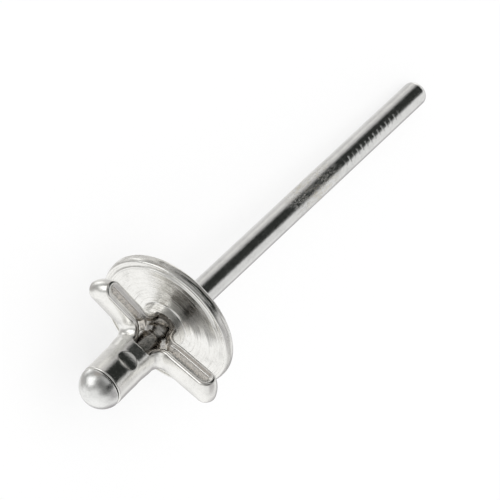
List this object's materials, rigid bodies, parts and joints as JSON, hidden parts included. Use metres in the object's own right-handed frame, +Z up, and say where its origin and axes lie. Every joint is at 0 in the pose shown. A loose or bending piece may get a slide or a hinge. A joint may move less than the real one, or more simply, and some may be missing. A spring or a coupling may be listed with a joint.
{
  "type": "pop rivet",
  "caption": "Set aluminium pop rivet with a wide flange, folded legs behind it and its long pull stem still attached.",
  "frame": {"origin": "middle of the footprint on the floor, under the rivet as it lies on the rim of its flange, on the end of one folded leg and on the tail of its stem", "axes": "+X along the stem towards its tail, which slopes down by about 8.5 degrees; +Y to the side; +Z up"},
  "size_m": [0.059, 0.0166, 0.0173],
  "materials": {
    "body_metal": "bright, as pressed and turned",
    "stem_metal": "bright drawn wire with tool marks near the tail"
  },
  "bodies": {
    "root": {"sleeve": "body_metal", "mandrel": "stem_metal"}
  },
  "joints": []
}
